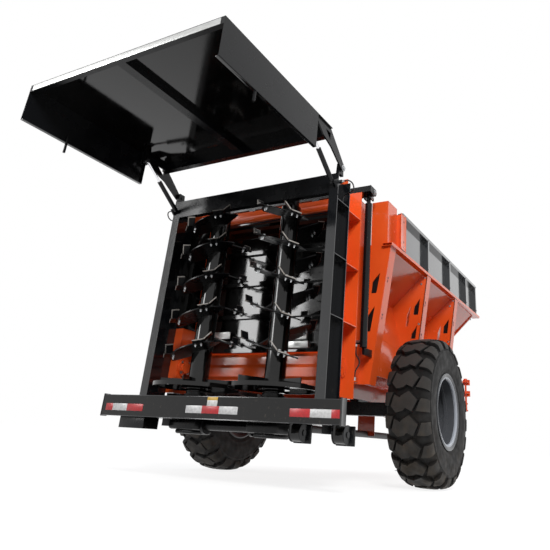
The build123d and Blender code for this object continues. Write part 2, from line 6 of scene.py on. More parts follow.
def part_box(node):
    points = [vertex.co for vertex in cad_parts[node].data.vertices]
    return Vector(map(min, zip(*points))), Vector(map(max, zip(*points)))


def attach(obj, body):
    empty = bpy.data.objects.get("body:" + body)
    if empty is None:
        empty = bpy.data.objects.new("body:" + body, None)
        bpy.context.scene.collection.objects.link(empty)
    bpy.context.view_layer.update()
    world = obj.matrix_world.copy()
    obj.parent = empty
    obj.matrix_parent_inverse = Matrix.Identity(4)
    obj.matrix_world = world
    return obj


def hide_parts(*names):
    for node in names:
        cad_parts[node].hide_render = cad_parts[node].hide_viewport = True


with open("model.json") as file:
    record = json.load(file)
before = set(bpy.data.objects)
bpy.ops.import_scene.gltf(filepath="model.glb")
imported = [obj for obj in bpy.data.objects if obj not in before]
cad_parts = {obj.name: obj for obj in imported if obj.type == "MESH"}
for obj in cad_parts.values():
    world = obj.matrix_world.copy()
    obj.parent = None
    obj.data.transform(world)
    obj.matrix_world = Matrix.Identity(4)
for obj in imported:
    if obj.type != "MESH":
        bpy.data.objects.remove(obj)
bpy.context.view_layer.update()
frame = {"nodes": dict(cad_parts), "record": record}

# Named lengths are metres and named turns are degrees, unless a comment says otherwise. Places are counted
# from the wheels' axle: x forwards, y to the left and z up from the ground. AXLE_X is the axle's own x in
# the frame.
scene = bpy.context.scene
AXLE_X = frame["record"]["behaviour"]["joints"][0]["pos_m"][0]
SIDES = ((1, "left"), (-1, "right"))


def at(x, y, z):
    """A place counted from the axle, in the frame."""
    return Vector((x + AXLE_X, y, z))


# ------------------------------------------------------------------ camera
CAMERA_PLACE = (-5.53, -3.107, 0.35)
CAMERA_YAW = 28.471
CAMERA_PITCH = 23.115
CAMERA_ROLL = 3.428
SENSOR_MM = 36
LENS_MM = 35.86
SHIFT = -0.12
NEAREST = 0.05


def camera():
    yaw, pitch, roll = radians(CAMERA_YAW), radians(CAMERA_PITCH), radians(CAMERA_ROLL)
    ahead = Vector((cos(yaw) * cos(pitch), sin(yaw) * cos(pitch), sin(pitch)))
    level = Vector((sin(yaw), -cos(yaw), 0))
    above = level.cross(ahead)
    right = level * cos(roll) + above * sin(roll)
    up = above * cos(roll) - level * sin(roll)
    data = bpy.data.cameras.new("camera")
    cam = bpy.data.objects.new("camera", data)
    scene.collection.objects.link(cam)
    turn = Matrix((right, up, -ahead)).transposed().to_4x4()
    turn.translation = at(*CAMERA_PLACE)
    cam.matrix_world = turn
    data.sensor_width = SENSOR_MM
    data.lens = LENS_MM
    data.shift_x = SHIFT
    data.shift_y = SHIFT
    data.clip_start = NEAREST
    scene.camera = cam


# ------------------------------------------------------------------ material nodes
def new_material(name):
    mat = bpy.data.materials.new(name)
    mat.use_nodes = True
    nodes, links = mat.node_tree.nodes, mat.node_tree.links
    return mat, nodes, links, nodes["Principled BSDF"]


def noise(nodes, links, scale, detail=4.0, stretch=(1, 1, 1)):
    coord = nodes.new("ShaderNodeTexCoord")
    place = nodes.new("ShaderNodeMapping")
    place.inputs["Scale"].default_value = stretch
    tex = nodes.new("ShaderNodeTexNoise")
    tex.inputs["Scale"].default_value = scale
    tex.inputs["Detail"].default_value = detail
    links.new(coord.outputs["Object"], place.inputs["Vector"])
    links.new(place.outputs["Vector"], tex.inputs["Vector"])
    return tex.outputs["Fac"]


def ramp(nodes, links, value, stops):
    """A grey ramp from the first stop's level to the second's."""
    node = nodes.new("ShaderNodeValToRGB")
    for element, (position, level) in zip(node.color_ramp.elements, stops):
        element.position = position
        element.color = (level, level, level, 1)
    links.new(value, node.inputs["Fac"])
    return node.outputs["Color"]


def mix(nodes, links, factor, a, b):
    """Colour a where factor is 0 and b where it is 1; each may be a fixed colour or a socket."""
    node = nodes.new("ShaderNodeMix")
    node.data_type = "RGBA"
    links.new(factor, node.inputs["Factor"])
    for value, key in ((a, "A"), (b, "B")):
        socket = [s for s in node.inputs if s.name == key and s.type == "RGBA"][0]
        if hasattr(value, "node"):
            links.new(value, socket)
        else:
            socket.default_value = (*value, 1)
    return [s for s in node.outputs if s.type == "RGBA"][0]


def times(nodes, links, a, b):
    node = nodes.new("ShaderNodeMath")
    node.operation = "MULTIPLY"
    for socket, value in zip(node.inputs, (a, b)):
        if hasattr(value, "node"):
            links.new(value, socket)
        else:
            socket.default_value = value
    return node.outputs[0]


def bump(nodes, links, bsdf, height, strength, distance):
    node = nodes.new("ShaderNodeBump")
    node.inputs["Strength"].default_value = strength
    node.inputs["Distance"].default_value = distance
    links.new(height, node.inputs["Height"])
    links.new(node.outputs["Normal"], bsdf.inputs["Normal"])


def low_dust(nodes, links, top, bottom):
    """0 above top and 1 below bottom: where road dust settles."""
    coord = nodes.new("ShaderNodeTexCoord")
    split = nodes.new("ShaderNodeSeparateXYZ")
    span = nodes.new("ShaderNodeMapRange")
    links.new(coord.outputs["Object"], split.inputs[0])
    links.new(split.outputs["Z"], span.inputs["Value"])
    span.inputs["From Min"].default_value = top
    span.inputs["From Max"].default_value = bottom
    return span.outputs["Result"]


# ------------------------------------------------------------------ materials
DUST = (0.33, 0.27, 0.2)
SOIL = 0.12            # how much of the dust's colour the paint takes on
PAINT_DUST_Z = (1.3, 0.1)
RUBBER_DUST_Z = (0.9, 0.0)
COAT_ROUGH = 0.06
RUBBER_SPECULAR = 0.35
DARKER = 0.7                          # the darker places of a moulded surface, as a share of its colour
SPREAD = [(0.3, 0.0), (0.7, 1.0)]     # a ramp that stretches noise to its whole range


def paint(name, colour, deep, rough, coat=0.0, specular=0.5):
    """Sprayed enamel: slow colour drift, uneven gloss, fine orange peel and dust low down."""
    mat, nodes, links, bsdf = new_material(name)
    drift = ramp(nodes, links, noise(nodes, links, scale=1.3), SPREAD)
    body = mix(nodes, links, drift, colour, deep)
    specks = ramp(nodes, links, noise(nodes, links, scale=38.0, detail=8.0), [(0.60, 0.0), (0.74, 1.0)])
    film = times(nodes, links, low_dust(nodes, links, *PAINT_DUST_Z), specks)
    links.new(mix(nodes, links, times(nodes, links, film, SOIL), body, DUST), bsdf.inputs["Base Color"])
    uneven = [(0.35, rough * 0.8), (0.75, rough * 1.5)]
    gloss = ramp(nodes, links, noise(nodes, links, scale=5.0, detail=6.0), uneven)
    links.new(gloss, bsdf.inputs["Roughness"])
    bsdf.inputs["Specular IOR Level"].default_value = specular
    bsdf.inputs["Coat Weight"].default_value = coat
    bsdf.inputs["Coat Roughness"].default_value = COAT_ROUGH
    peel = noise(nodes, links, scale=160.0, detail=2.0)
    bump(nodes, links, bsdf, peel, strength=0.02, distance=0.004)
    return mat


def metal(name, colour, dark, rough, scale=20.0):
    """Bare or plated metal with drawn-out grain in its colour and gloss."""
    mat, nodes, links, bsdf = new_material(name)
    grain = noise(nodes, links, scale, detail=8.0, stretch=(1, 1, 4))
    body = mix(nodes, links, ramp(nodes, links, grain, SPREAD), colour, dark)
    links.new(body, bsdf.inputs["Base Color"])
    uneven = [(0.3, rough * 0.7), (0.7, rough * 1.4)]
    links.new(ramp(nodes, links, grain, uneven), bsdf.inputs["Roughness"])
    bsdf.inputs["Metallic"].default_value = 1.0
    bump(nodes, links, bsdf, grain, strength=0.05, distance=0.002)
    return mat


def rubber(name, colour, dust, amount):
    """Tyre rubber with patches of dust towards the ground."""
    mat, nodes, links, bsdf = new_material(name)
    patches = ramp(nodes, links, noise(nodes, links, scale=9.0, detail=10.0), [(0.42, 0.0), (0.72, 1.0)])
    ground = low_dust(nodes, links, *RUBBER_DUST_Z)
    mask = times(nodes, links, patches, times(nodes, links, ground, amount))
    links.new(mix(nodes, links, mask, colour, dust), bsdf.inputs["Base Color"])
    wear = ramp(nodes, links, noise(nodes, links, scale=14.0, detail=6.0), [(0.3, 0.55), (0.7, 0.85)])
    links.new(wear, bsdf.inputs["Roughness"])
    bsdf.inputs["Specular IOR Level"].default_value = RUBBER_SPECULAR
    skin = noise(nodes, links, scale=120.0, detail=6.0)
    bump(nodes, links, bsdf, skin, strength=0.25, distance=0.002)
    return mat


def plastic(name, colour, rough):
    """A plain moulded or printed surface, a little darker in places."""
    mat, nodes, links, bsdf = new_material(name)
    grain = noise(nodes, links, scale=60.0)
    darker = tuple(c * DARKER for c in colour)
    body = mix(nodes, links, ramp(nodes, links, grain, SPREAD), colour, darker)
    links.new(body, bsdf.inputs["Base Color"])
    bsdf.inputs["Roughness"].default_value = rough
    bump(nodes, links, bsdf, grain, strength=0.1, distance=0.001)
    return mat


# paint: name, colour, the colour it drifts to, roughness, clear coat and specular level
# rubber: name, colour, its dust and how much of it; metal: name, colour, dark grain, roughness and grain
MAT = {
    "orange_paint": paint("orange_enamel", (0.78, 0.105, 0.018), (0.66, 0.075, 0.012), 0.20, 0.45, 0.45),
    "black_paint": paint("black_enamel", (0.0050, 0.0054, 0.0064), (0.0036, 0.0039, 0.0046),
                         0.24, 0.0, 0.25),
    "black_gloss": paint("black_gloss_enamel", (0.0052, 0.0058, 0.0072), (0.0040, 0.0044, 0.0054),
                         0.10, 0.5),
    "board_enamel": paint("board_enamel", (0.0150, 0.0175, 0.0210), (0.0110, 0.0125, 0.0150),
                          0.12, 1.0, 0.75),
    "black_sheet": paint("black_sheet_enamel", (0.0042, 0.0040, 0.0038), (0.0030, 0.0029, 0.0028),
                         0.07, 0.0, 0.4),
    "black_blade": paint("black_blade_enamel", (0.0045, 0.0045, 0.0050), (0.003, 0.003, 0.0035),
                         0.26, 0.0, 0.22),
    # the rim's grey is made darker as painted shade of its inside, and its lip paler as a painted highlight,
    # though both are the same grey paint
    "rim": paint("grey_rim_painted_shade", (0.075, 0.078, 0.085), (0.055, 0.058, 0.063), 0.32, 0.2),
    "rim_lip": paint("rim_lip_painted_highlight", (0.36, 0.38, 0.42), (0.28, 0.30, 0.33), 0.30, 0.3),
    "tyre": rubber("tyre_rubber", (0.0046, 0.0042, 0.0040), (0.08, 0.06, 0.04), 0.22),
    "tread": rubber("tread_rubber", (0.0290, 0.0265, 0.0240), (0.15, 0.115, 0.08), 0.5),
    "raw_steel": metal("worn_steel", (0.42, 0.40, 0.38), (0.26, 0.23, 0.20), 0.38),
    "rod_chrome": metal("chromed_rod", (0.82, 0.82, 0.84), (0.74, 0.74, 0.76), 0.10, 60.0),
    "zinc": metal("zinc_plate", (0.58, 0.59, 0.60), (0.46, 0.47, 0.48), 0.34, 12.0),
    "pale_steel": metal("pale_steel", (0.66, 0.67, 0.66), (0.50, 0.50, 0.49), 0.42, 9.0),
    "guard_plastic": plastic("guard_plastic", (0.02, 0.02, 0.021), 0.5),
    "hose_rubber": plastic("hose_rubber", (0.011, 0.011, 0.012), 0.42),
    # near-black plates standing for holes and for the insides of slots: painted shade
    "keyhole": plastic("hole_painted_shade", (0.004, 0.003, 0.003), 0.8),
    "tape_red": plastic("reflective_red", (0.52, 0.022, 0.026), 0.32),
    "tape_white": plastic("reflective_white", (0.70, 0.69, 0.68), 0.32),
    "plate_white": plastic("plate_white", (0.74, 0.73, 0.70), 0.35),
    "plate_yellow": plastic("plate_yellow", (0.70, 0.42, 0.05), 0.35),
}
# nodes whose paint is glossier than the rest of their slot
FINISH = {
    "beater_post_left": "black_gloss", "beater_post_right": "black_gloss",
    "beater_tube_left": "black_sheet", "beater_tube_right": "black_sheet",
    "board_left": "board_enamel", "board_right": "board_enamel",
    "bumper": "black_sheet", "gate": "black_sheet", "hood_panel": "black_sheet",
}


def dress_nodes():
    slots = {s["node"]: s["material_slot"] for s in frame["record"]["subparts"]}
    for name, obj in frame["nodes"].items():
        obj.data.materials.clear()
        obj.data.materials.append(MAT[FINISH.get(name, slots[name])])


# ------------------------------------------------------------------ stage
FLOOR_SIZE = 400
FLOOR_COLOUR = (0.22, 0.22, 0.216, 1)
FLOOR_GLOW = 0.84
WHITE = (1, 1, 1, 1)
SKY_COLOUR = (0.93, 0.95, 1.0, 1)
SKY_RISE = (0.15, 0.7)     # the sky's light grows between these heights of a ray's unit direction
SKY_LIGHT = (0.05, 1.05)   # its strength at the two
# place, target, width, height, watts and the kind of ray that does not see the lamp
LAMPS = {
    "key": ((-10, -6.5, 7.6), (-1, 0, 1.4), 3.0, 3.0, 1200, "visible_glossy"),
    "panel": ((-8, 5, 4), (0, 0, 1.2), 2.2, 3.8, 340, "visible_diffuse"),
    "fill": ((-8, 5, 4), (0, 0, 1.2), 2.2, 3.8, 50, "visible_glossy"),
    "back": ((6, -4, 7), (0, 0, 1.2), 5, 5, 350, "visible_glossy"),
}


def split_by_ray(nodes, links, lighting, seen, output):
    """One shader for the light a surface gives, another for rays that show it directly."""
    path = nodes.new("ShaderNodeLightPath")
    first = nodes.new("ShaderNodeMath")
    second = nodes.new("ShaderNodeMath")
    first.operation = second.operation = "MAXIMUM"
    links.new(path.outputs["Is Camera Ray"], first.inputs[0])
    links.new(path.outputs["Is Glossy Ray"], first.inputs[1])
    links.new(first.outputs[0], second.inputs[0])
    links.new(path.outputs["Is Transmission Ray"], second.inputs[1])
    blend = nodes.new("ShaderNodeMixShader")
    links.new(second.outputs[0], blend.inputs[0])
    links.new(lighting.outputs[0], blend.inputs[1])
    links.new(seen.outputs[0], blend.inputs[2])
    links.new(blend.outputs[0], nodes[output].inputs["Surface"])


def stage_floor():
    """A pale floor that keeps its shadows and looks almost white."""
    bpy.ops.mesh.primitive_plane_add(size=FLOOR_SIZE, location=(0, 0, 0))
    floor = bpy.context.object
    floor.name = "floor_stage"
    mat = bpy.data.materials.new("pale_floor")
    mat.use_nodes = True
    nodes, links = mat.node_tree.nodes, mat.node_tree.links
    nodes.remove(nodes["Principled BSDF"])
    plain = nodes.new("ShaderNodeBsdfDiffuse")
    plain.inputs["Color"].default_value = FLOOR_COLOUR
    glow = nodes.new("ShaderNodeEmission")
    glow.inputs["Color"].default_value = WHITE
    glow.inputs["Strength"].default_value = FLOOR_GLOW
    pale = nodes.new("ShaderNodeAddShader")
    links.new(plain.outputs[0], pale.inputs[0])
    links.new(glow.outputs[0], pale.inputs[1])
    split_by_ray(nodes, links, plain, pale, "Material Output")
    floor.data.materials.append(mat)


def stage_sky():
    """A soft sky that grows brighter with height, shown as plain white."""
    world = bpy.data.worlds.new("studio")
    scene.world = world
    world.use_nodes = True
    nodes, links = world.node_tree.nodes, world.node_tree.links
    soft = nodes["Background"]
    soft.inputs["Color"].default_value = SKY_COLOUR
    coord = nodes.new("ShaderNodeTexCoord")
    split = nodes.new("ShaderNodeSeparateXYZ")
    rise = nodes.new("ShaderNodeMapRange")
    links.new(coord.outputs["Generated"], split.inputs[0])
    links.new(split.outputs["Z"], rise.inputs["Value"])
    rise.inputs["From Min"].default_value, rise.inputs["From Max"].default_value = SKY_RISE
    rise.inputs["To Min"].default_value, rise.inputs["To Max"].default_value = SKY_LIGHT
    links.new(rise.outputs["Result"], soft.inputs["Strength"])
    white = nodes.new("ShaderNodeBackground")
    white.inputs["Color"].default_value = WHITE
    white.inputs["Strength"].default_value = 1.0
    split_by_ray(nodes, links, soft, white, "World Output")


def lamp(name, place, target, wide, high, power, unseen_by):
    data = bpy.data.lights.new(name, "AREA")
    data.shape = "RECTANGLE"
    data.size = wide
    data.size_y = high
    data.energy = power
    obj = bpy.data.objects.new(name, data)
    scene.collection.objects.link(obj)
    obj.location = place
    aim = Vector(target) - Vector(place)
    obj.rotation_euler = aim.to_track_quat("-Z", "Y").to_euler()
    setattr(obj, unseen_by, False)


# ------------------------------------------------------------------ making pieces
SHARP = 35          # edges that turn by more than this stay sharp
EASED = 0.002       # the usual easing of a box's edges
BEDDED = 0.001      # how far a stuck-on piece or a washer reaches into what it sits on
HEAD_RIM = 0.8      # where a bolt head's rim starts to narrow, as a share of its height
HEAD_TOP = 0.85     # and the radius of its top, as a share of its own
HEAD_RISE = 0.2     # how far a head stands off, as a share of its height
# a washer's radius and height as shares of its bolt's, and its sides
WASHER = (1.55, 0.22, 14)


def from_bmesh(name, bm, material, body, angle=SHARP):
    """Turns the mesh into a piece that rides on a body."""
    bmesh.ops.recalc_face_normals(bm, faces=bm.faces)
    mesh = bpy.data.meshes.new(name)
    bm.to_mesh(mesh)
    bm.free()
    obj = bpy.data.objects.new(name, mesh)
    scene.collection.objects.link(obj)
    obj.data.materials.append(MAT[material])
    mesh.shade_smooth()
    mesh.set_sharp_from_angle(angle=radians(angle))
    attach(obj, body)
    return obj


def ring_of(radius, sides, x=0.0, y=0.0):
    """The corners of a regular outline round (x, y)."""
    turns = [2 * pi * k / sides for k in range(sides)]
    return [(x + radius * cos(a), y + radius * sin(a)) for a in turns]


def band(bm, near, far):
    """The faces between two loops of points."""
    for k in range(len(near)):
        n = (k + 1) % len(near)
        bm.faces.new((near[k], near[n], far[n], far[k]))


def close(bm, near, far):
    """The faces between two loops of points and over both of them."""
    band(bm, near, far)
    bm.faces.new(near)
    bm.faces.new(list(reversed(far)))


def lathe(bm, outline, steps, centre, side=1):
    """Turns a closed outline of (radius, along) about the Y axis through centre."""
    rings = []
    for i in range(steps):
        a = 2 * pi * i / steps
        rings.append([bm.verts.new(centre + Vector((r * cos(a), side * y, r * sin(a)))) for r, y in outline])
    for i in range(steps):
        band(bm, rings[i], rings[(i + 1) % steps])


def hexagon(bm, centre, axis, radius, height, sides=6):
    """A bolt head or nut: a prism standing on centre along axis, with its rim eased."""
    turn = Vector(axis).normalized().to_track_quat("Z", "Y").to_matrix().to_4x4()
    turn.translation = Vector(centre)
    rings = []
    for r, h in ((radius, 0), (radius, height * HEAD_RIM), (radius * HEAD_TOP, height)):
        rings.append([bm.verts.new(turn @ Vector((*p, h))) for p in ring_of(r, sides)])
    for near, far in zip(rings, rings[1:]):
        band(bm, near, far)
    bm.faces.new(rings[-1])


def bolts(name, places, radius, height, material, body):
    """Bolt heads on washers, each at a place and along an axis."""
    wider, thinner, sides = WASHER
    bm = bmesh.new()
    for centre, axis in places:
        along = Vector(axis).normalized()
        hexagon(bm, centre - along * BEDDED, axis, radius * wider, height * thinner, sides)
        hexagon(bm, centre + along * height * HEAD_RISE, axis, radius, height)
    return from_bmesh(name, bm, material, body)


def box(bm, x, y, z, ease=EASED):
    """A box between the given limits, its edges eased."""
    made = bmesh.ops.create_cube(bm, size=1)["verts"]
    for v in made:
        v.co = at(*(lo + (hi - lo) * (c + 0.5) for c, (lo, hi) in zip(v.co, (x, y, z))))
    edges = list(dict.fromkeys(e for v in made for e in v.link_edges))
    bmesh.ops.bevel(bm, geom=edges, offset=ease, segments=2, profile=0.5, affect="EDGES")


def small_box(bm, turn, x, y, z):
    """A box with plain edges, in a frame of its own."""
    for v in bmesh.ops.create_cube(bm, size=1)["verts"]:
        v.co = turn @ Vector(lo + (hi - lo) * (c + 0.5) for c, (lo, hi) in zip(v.co, (x, y, z)))


def plate(bm, axis, outline, low, high):
    """A flat plate: its outline lies across the axis named, and it runs from low to high along it."""
    place = {"x": lambda p, d: at(d, *p), "y": lambda p, d: at(p[0], d, p[1])}[axis]
    near, far = [[bm.verts.new(place(p, d)) for p in outline] for d in (low, high)]
    close(bm, near, far)


def oval(across, up, wide, high, steps=32):
    """The points of an oval of the given width and height round (across, up)."""
    turns = [2 * pi * k / steps for k in range(steps)]
    return [(across + wide / 2 * cos(a), up + high / 2 * sin(a)) for a in turns]


def rod(bm, a, b, radius, sides=20):
    """A round bar between two places counted from the axle."""
    a, b = at(*a), at(*b)
    turn = (b - a).to_track_quat("Z", "Y").to_matrix().to_4x4()
    near, far = [[bm.verts.new(a + turn @ Vector((*p, along))) for p in ring_of(radius, sides)]
                 for along in (0, (b - a).length)]
    close(bm, near, far)


# ------------------------------------------------------------------ tyres
TYRE_R = 0.692
TREAD = 0.036
# half the tread's section and the tyre's side, as distance from the middle and radius
CROWN = [(0.0, TYRE_R), (0.060, 0.691), (0.110, 0.687), (0.150, 0.680), (0.178, 0.669), (0.196, 0.650),
         (0.207, 0.622), (0.213, 0.590)]
# the tyre under its tread, from the crown down to the bead, as radius and distance from the middle
SIDEWALL = [(0.656, 0.0), (0.655, 0.06), (0.651, 0.110), (0.644, 0.148), (0.632, 0.172), (0.612, 0.190),
            (0.585, 0.203), (0.572, 0.209), (0.566, 0.213), (0.560, 0.211), (0.530, 0.214), (0.500, 0.2165),
            (0.460, 0.2150), (0.430, 0.2105), (0.404, 0.204), (0.396, 0.205), (0.390, 0.203), (0.376, 0.196),
            (0.360, 0.192), (0.355, 0.180), (0.319, 0.176), (0.319, 0.15)]
TYRE_STEPS = 120
TYRE_SHARP = 32
LUGS = 21
MM_PER_M = 1000
# one pitch of the tread laid flat, in millimetres across the tyre and round it
MIDDLE_BLOCK = [(-132, 41), (-82, 98), (-14, 83), (14, 57), (73, 83), (128, -16), (46, -98), (-31, -52),
                (-41, -36), (-100, -62)]
SHOULDER_BLOCK = [(104, 80), (268, 92), (268, -30), (152, -36)]
# a block's size and height in millimetres at its foot, its rim and its top
BLOCK_LEVELS = ((1.035, -4), (1.0, 31), (0.955, 36))
# where the blocks are cut, in millimetres along each direction, so that they bend with the tyre's curve
BLOCK_CUTS = {(0, 1, 0): range(-90, 100, 30),
              (1, 0, 0): (-240, -215, -190, -165, -110, -60, 0, 60, 110, 165, 190, 215, 240)}
# the share of a pitch by which each side's tread is turned
TREAD_TURN = {"left": 0.0, "right": 0.35}


def on_crown(s, h, u):
    """A tread point from s across, h above the tread's base and u round it, all as lengths."""
    side, s = (1 if s >= 0 else -1), abs(s)
    run = 0.0
    for (y0, r0), (y1, r1) in zip(CROWN, CROWN[1:]):
        step = hypot(y1 - y0, r1 - r0)
        if s <= run + step or (y1, r1) == CROWN[-1]:
            t = (s - run) / step
            y, r = y0 + (y1 - y0) * t, r0 + (r1 - r0) * t
            ny, nr = (r0 - r1) / step, (y1 - y0) / step
            break
        run += step
    y, r = y + ny * (h - TREAD), r + nr * (h - TREAD)
    a = u / TYRE_R
    return Vector((r * cos(a), side * y, r * sin(a)))


def scaled(outline, share):
    """The outline made larger or smaller about its middle."""
    c = sum((Vector(p) for p in outline), Vector((0, 0))) / len(outline)
    return [tuple(c + (Vector(p) - c) * share) for p in outline]


def tread_blocks():
    """One pitch of the tread: its points, and its faces with a mark on those that touch the road."""
    bm = bmesh.new()
    for outline in (MIDDLE_BLOCK, SHOULDER_BLOCK, [(-s, -u) for s, u in SHOULDER_BLOCK]):
        levels = []
        for share, height in BLOCK_LEVELS:
            levels.append([bm.verts.new((*p, height)) for p in scaled(outline, share)])
        for near, far in zip(levels, levels[1:]):
            band(bm, near, far)
        bm.faces.new(levels[-1])
    for direction, cuts in BLOCK_CUTS.items():
        for cut in cuts:
            bmesh.ops.bisect_plane(bm, geom=bm.verts[:] + bm.edges[:] + bm.faces[:],
                                   plane_co=Vector(direction) * cut, plane_no=direction)
    bmesh.ops.triangulate(bm, faces=bm.faces[:])
    bm.verts.index_update()
    top = BLOCK_LEVELS[-1][1] - 1
    verts = [v.co.copy() / MM_PER_M for v in bm.verts]
    faces = [([v.index for v in f.verts], all(v.co.z > top for v in f.verts)) for f in bm.faces]
    bm.free()
    return verts, faces


def make_tyre(side, word):
    node = "tyre_" + word
    lo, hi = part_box(node)
    centre = (Vector(lo) + Vector(hi)) / 2
    flat, faces = tread_blocks()
    bm = bmesh.new()
    for i in range(LUGS):
        round_to = (i + TREAD_TURN[word]) * 2 * pi * TYRE_R / LUGS
        made = [bm.verts.new(centre + on_crown(v.x * side, v.z, v.y + round_to)) for v in flat]
        for corners, on_road in faces:
            bm.faces.new([made[k] for k in corners]).material_index = 1 if on_road else 0
    lathe(bm, SIDEWALL + [(r, -y) for r, y in reversed(SIDEWALL[1:])], TYRE_STEPS, centre)
    obj = from_bmesh("tyre_treaded_" + word, bm, "tyre", "wheel_" + word, TYRE_SHARP)
    obj.data.materials.append(MAT["tread"])
    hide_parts(node)


# ------------------------------------------------------------------ rims
RIM_STEPS = 96
CAP_STEPS = 40
RIM_SHARP = 30
# closed outlines, as radius and distance from the wheel's middle
LIP_OUTLINE = [(0.300, 0.165), (0.318, 0.172), (0.326, 0.186), (0.322, 0.194), (0.308, 0.193), (0.298, 0.180)]
BAND_OUTLINE = [(0.284, 0.060), (0.3045, 0.060), (0.3045, 0.086), (0.284, 0.086)]
CAP_OUTLINE = [(0.0001, 0.020), (0.062, 0.020), (0.070, 0.035), (0.066, 0.060), (0.0001, 0.066)]
WHEEL_NUTS = 10
NUT_CIRCLE = 0.155
NUT_FACE = -0.054
NUT = (0.019, 0.022)         # radius and height
STUD = (0.010, 0.016, 10)    # radius, height and sides
STUD_RISE = 0.020


def make_rim_trim(side, word):
    """The lip, paler than the rim as a painted highlight, the band inside the rim, the hub cap and the wheel
    nuts, in the rim's grey darkened as painted shade.
    """
    lo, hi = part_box("tyre_" + word)
    centre = (Vector(lo) + Vector(hi)) / 2
    body = "wheel_" + word
    bm = bmesh.new()
    lathe(bm, LIP_OUTLINE, RIM_STEPS, centre, side)
    from_bmesh("rim_lip_" + word, bm, "rim_lip", body, RIM_SHARP)
    bm = bmesh.new()
    lathe(bm, BAND_OUTLINE, RIM_STEPS, centre, side)
    for x, z in ring_of(NUT_CIRCLE, WHEEL_NUTS):
        foot = centre + Vector((x, side * NUT_FACE, z))
        hexagon(bm, foot, (0, side, 0), *NUT)
        hexagon(bm, foot + Vector((0, side * STUD_RISE, 0)), (0, side, 0), *STUD)
    lathe(bm, CAP_OUTLINE, CAP_STEPS, centre, side)
    from_bmesh("rim_trim_" + word, bm, "rim", body, RIM_SHARP)


# ------------------------------------------------------------------ bumper
BUMPER_REAR = -1.849
BUMPER_Z = (0.468, 0.639)
BUMPER_Y = 1.210
TAPE_Z = (0.510, 0.568)
TAPE_T = 0.0012
# the stretches of the bumper's width that each colour covers
TAPE = {"red": [(1.080, 1.165), (0.715, 0.905), (-0.115, 0.060), (-0.955, -0.780), (-1.200, -1.132)],
        "white": [(0.905, 1.080), (0.060, 0.230), (-0.300, -0.115), (-1.132, -0.955)]}
BLANK_Y = (-0.090, 0.013)
BLANK_T = 0.0022
# material, and how far the lower and upper edge lie below the bumper's top
BLANKS = {"lower": ("plate_white", 0.072, 0.027), "upper": ("plate_yellow", 0.027, 0.002)}
END_CAP_X = (BUMPER_REAR - 0.005, BUMPER_REAR + 0.066)
END_CAP_Z = (BUMPER_Z[0] - 0.008, BUMPER_Z[1] + 0.011)
END_CAP_T = 0.006
FOLD_X = (BUMPER_REAR - 0.003, BUMPER_REAR + 0.05)
FOLD_R = 0.003
# the plate that hangs under the bumper on the left, as limits in x, y and z
STAY_PLATE = ((-1.815, -1.805), (0.710, 1.000), (0.373, 0.468))
LAMP_X = -1.727
LAMP_Z = 0.406
LAMP_Y = (-0.795, -1.160)
LAMP_R = 0.062
LAMP_STEM_R = 0.022
LAMP_HALF = 0.056
LAMP_RING_Y = (0.044, 0.050)
LAMP_RING_R = LAMP_R + 0.005
LAMP_BRACKET_X = (LAMP_X + 0.058, LAMP_X + 0.078)
LAMP_BRACKET_Y = 0.075
LAMP_BRACKET_Z = (LAMP_Z - LAMP_R - 0.012, BUMPER_Z[0])


def dress_bumper():
    """Bare tape, blank plates, folded edges and end caps, the stay's plate and the lamps' guards."""
    face = BUMPER_REAR
    for colour, runs in TAPE.items():
        bm = bmesh.new()
        for run in runs:
            box(bm, (face - TAPE_T, face + BEDDED), run, TAPE_Z, ease=0.0004)
        from_bmesh("bumper_tape_" + colour, bm, "tape_" + colour, "chassis")
    for name, (material, lower, upper) in BLANKS.items():
        bm = bmesh.new()
        z = (BUMPER_Z[1] - lower, BUMPER_Z[1] - upper)
        box(bm, (face - BLANK_T, face + BEDDED), BLANK_Y, z, ease=0.0006)
        from_bmesh("blank_plate_" + name, bm, material, "chassis")
    bm = bmesh.new()
    for side in (1, -1):
        end = side * BUMPER_Y
        box(bm, END_CAP_X, (end, end + side * END_CAP_T), END_CAP_Z, ease=0.003)
    for z in BUMPER_Z:
        box(bm, FOLD_X, (-BUMPER_Y, BUMPER_Y), (z - FOLD_R, z + FOLD_R), ease=0.0028)
    from_bmesh("bumper_edges", bm, "black_gloss", "chassis")
    bm = bmesh.new()
    box(bm, *STAY_PLATE)
    from_bmesh("bumper_stay_plate", bm, "black_paint", "chassis")
    bm = bmesh.new()
    for y in LAMP_Y:
        box(bm, LAMP_BRACKET_X, (y - LAMP_BRACKET_Y, y + LAMP_BRACKET_Y), LAMP_BRACKET_Z, ease=0.004)
        rod(bm, (LAMP_X, y - LAMP_HALF, LAMP_Z), (LAMP_X, y + LAMP_HALF, LAMP_Z), LAMP_STEM_R)
        for k in (-1, 1):
            near, far = (y + k * d for d in LAMP_RING_Y)
            rod(bm, (LAMP_X, near, LAMP_Z), (LAMP_X, far, LAMP_Z), LAMP_RING_R, sides=28)
    from_bmesh("lamp_guards", bm, "black_paint", "chassis")


# ------------------------------------------------------------------ beaters
BEATER_X = -1.545
BEATER_Y = 0.412
FLIGHTS = 8
FLIGHT_LOW = 1.045
FLIGHT_STEP = 0.156
FLIGHT_TILT = 17
FLIGHT_R = 0.285
FLIGHT_ARC = 74
FLIGHT_HALF_T = 0.005
FLIGHT_CUTS = 24
TUBE_R = 0.088
TOP_FLIGHT_Z = 2.268
# a knife lies on its flight, x pointing outwards, and its tip is bent up along the hinge
KNIFE_TURNS = (-42, 34)
KNIFE_X = (0.230, 0.338)
KNIFE_Y = (-0.055, 0.045)
KNIFE_Z = (0.005, 0.013)
KNIFE_BOLT_X = 0.256
KNIFE_BOLT_Y = (-0.034, 0.016)
